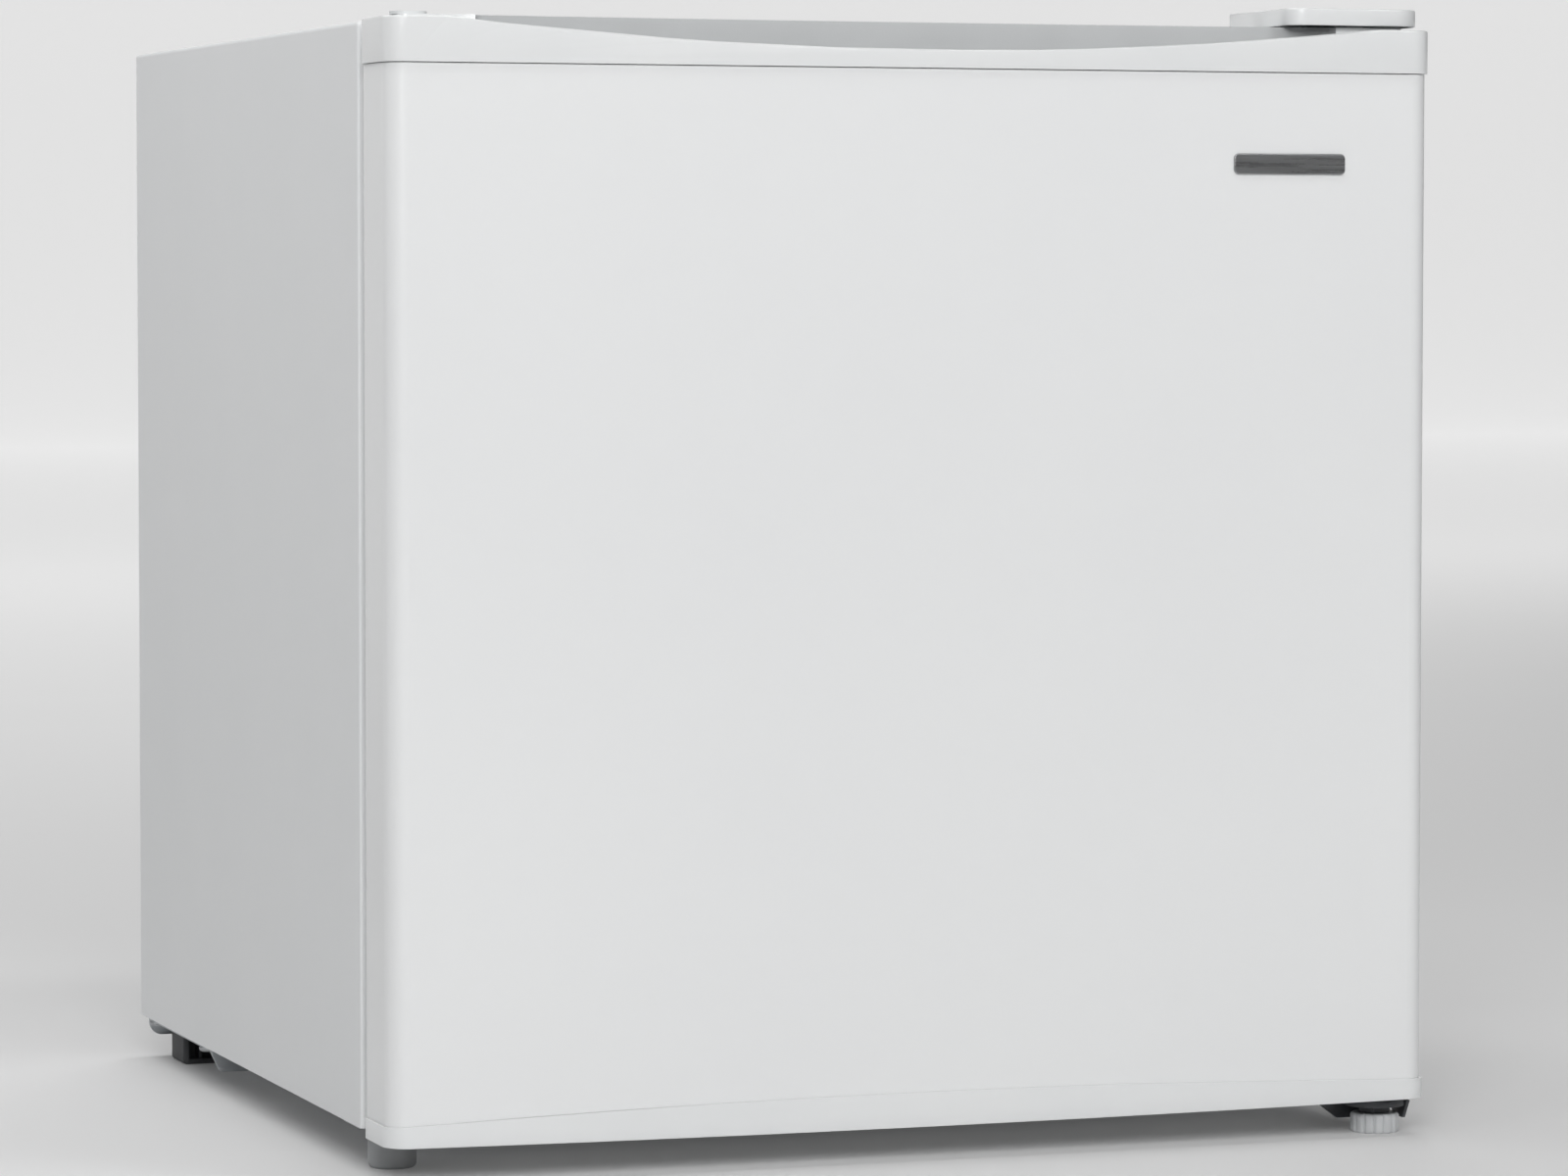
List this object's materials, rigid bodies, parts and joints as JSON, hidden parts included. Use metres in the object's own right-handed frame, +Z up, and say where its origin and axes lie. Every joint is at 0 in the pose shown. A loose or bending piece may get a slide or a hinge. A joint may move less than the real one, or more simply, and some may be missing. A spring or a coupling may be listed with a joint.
{
  "type": "mini fridge",
  "caption": "Compact cube refrigerator with a right-hinged door, scooped top grip, freezer box, shelf, door bins and screw-adjusted front feet.",
  "frame": {"origin": "on the floor, under the middle of the whole object's box", "axes": "+X to the right seen from the front, +Y from the door to the back, +Z up"},
  "size_m": [0.472, 0.45, 0.492],
  "materials": {
    "shell_paint": "white powder coat, fine orange peel",
    "door_paint": "white coil-coated sheet",
    "cap_plastic": "white moulded ABS",
    "liner_plastic": "white vacuum-formed polystyrene",
    "foam": "closed-cell polyurethane foam, never seen",
    "gasket_vinyl": "soft white-grey vinyl",
    "magnet": "flexible magnet strip",
    "zinc_steel": "zinc-plated pressed steel",
    "galvanised": "galvanised sheet",
    "black_steel": "black enamelled steel",
    "copper": "drawn copper tube",
    "grey_plastic": "grey moulded polyamide",
    "wheel_plastic": "light grey moulded plastic",
    "dark_plastic": "dark moulded plastic",
    "evap_aluminium": "roll-bonded sheet, satin",
    "clear_plastic": "clear blue-white polystyrene",
    "bin_plastic": "clear polystyrene",
    "white_plastic": "white moulded plastic",
    "shelf_wire": "white plastic-coated wire",
    "black_rubber": "moulded rubber",
    "badge_metal": "satin badge plate"
  },
  "bodies": {
    "cabinet": {"cabinet_shell": "shell_paint", "front_rail": "shell_paint", "back_panel": "galvanised", "bottom_panel": "galvanised", "inner_liner": "liner_plastic", "cabinet_foam": "foam", "condenser_tube": "copper", "compressor": "black_steel", "compressor_feet": "black_steel", "compressor_grommets": "black_rubber", "compressor_bolts": "zinc_steel", "base_plate": "galvanised", "base_screws": "zinc_steel", "rear_feet": "dark_plastic", "start_relay": "dark_plastic", "terminal_cover": "white_plastic", "suction_tube": "copper", "discharge_tube": "copper", "process_tube": "copper", "filter_drier": "copper", "capillary_tube": "copper", "cord_inlet": "black_rubber", "upper_hinge": "zinc_steel", "upper_hinge_pin": "zinc_steel", "upper_hinge_screws": "zinc_steel", "nut_plates": "galvanised", "cabinet_plugs": "white_plastic", "hinge_cover": "cap_plastic", "lower_hinge": "zinc_steel", "lower_hinge_screws": "zinc_steel", "left_foot_plate": "galvanised", "evaporator_box": "evap_aluminium", "evaporator_hangers": "white_plastic", "freezer_frame": "white_plastic", "tray_rails": "white_plastic", "thermostat_housing": "white_plastic", "thermostat_switch": "zinc_steel", "sensing_bulb": "copper"},
    "door": {"door_panel": "door_paint", "door_top_cap": "cap_plastic", "door_bottom_cap": "cap_plastic", "door_liner": "liner_plastic", "door_foam": "foam", "door_gasket": "gasket_vinyl", "gasket_magnets": "magnet", "upper_bush": "grey_plastic", "lower_bush": "grey_plastic", "door_plugs": "white_plastic", "badge_plate": "badge_metal"},
    "flap": {"freezer_flap": "clear_plastic"},
    "tray": {"drip_tray": "clear_plastic"},
    "shelf": {"wire_shelf": "shelf_wire"},
    "dial": {"thermostat_dial": "white_plastic", "thermostat_shaft": "zinc_steel"},
    "bin_low": {"lower_bin": "bin_plastic"},
    "bin_high": {"upper_bin": "bin_plastic"},
    "right_stud": {"right_foot_stud": "zinc_steel"},
    "right_wheel": {"right_foot_wheel": "wheel_plastic"},
    "left_stud": {"left_foot_stud": "zinc_steel"},
    "left_pad": {"left_foot_pad": "grey_plastic"}
  },
  "joints": [
    {"name": "door_swing", "type": "hinge", "parent": "cabinet", "child": "door", "pos_m": [0.22, -0.203, 0.24], "axis": [0, 0, 1], "range_deg": [0, 125]},
    {"name": "flap_swing", "type": "hinge", "parent": "cabinet", "child": "flap", "pos_m": [-0.05, -0.0422, 0.435], "axis": [-1, 0, 0], "range_deg": [0, 85]},
    {"name": "dial_turn", "type": "hinge", "parent": "cabinet", "child": "dial", "pos_m": [0.141, -0.02, 0.421], "axis": [0, -1, 0], "range_deg": [0, 270]},
    {"name": "tray_slide", "type": "slide", "parent": "cabinet", "child": "tray", "axis": [0, -1, 0], "range_m": [0, 0.07]},
    {"name": "shelf_slide", "type": "slide", "parent": "cabinet", "child": "shelf", "axis": [0, -1, 0], "range_m": [0, 0.05]},
    {"name": "lower_bin_lift", "type": "slide", "parent": "door", "child": "bin_low", "axis": [0, 0, 1], "range_m": [0, 0.012]},
    {"name": "upper_bin_lift", "type": "slide", "parent": "door", "child": "bin_high", "axis": [0, 0, 1], "range_m": [0, 0.012]},
    {"name": "right_foot_height", "type": "slide", "parent": "cabinet", "child": "right_stud", "axis": [0, 0, -1], "range_m": [0, 0.00505]},
    {"name": "right_foot_turn", "type": "hinge", "parent": "right_stud", "child": "right_wheel", "pos_m": [0.22, -0.203, 0.004], "axis": [0, 0, -1], "range_deg": [0, 1440]},
    {"name": "left_foot_height", "type": "slide", "parent": "cabinet", "child": "left_stud", "axis": [0, 0, -1], "range_m": [0, 0.00505]},
    {"name": "left_foot_turn", "type": "hinge", "parent": "left_stud", "child": "left_pad", "pos_m": [-0.217, -0.162, 0.004], "axis": [0, 0, -1], "range_deg": [0, 1440]}
  ],
  "couplings": [
    {"joint": "right_foot_height", "follows": "right_foot_turn", "m_per_rad": 0.00019894},
    {"joint": "left_foot_height", "follows": "left_foot_turn", "m_per_rad": 0.00019894}
  ]
}
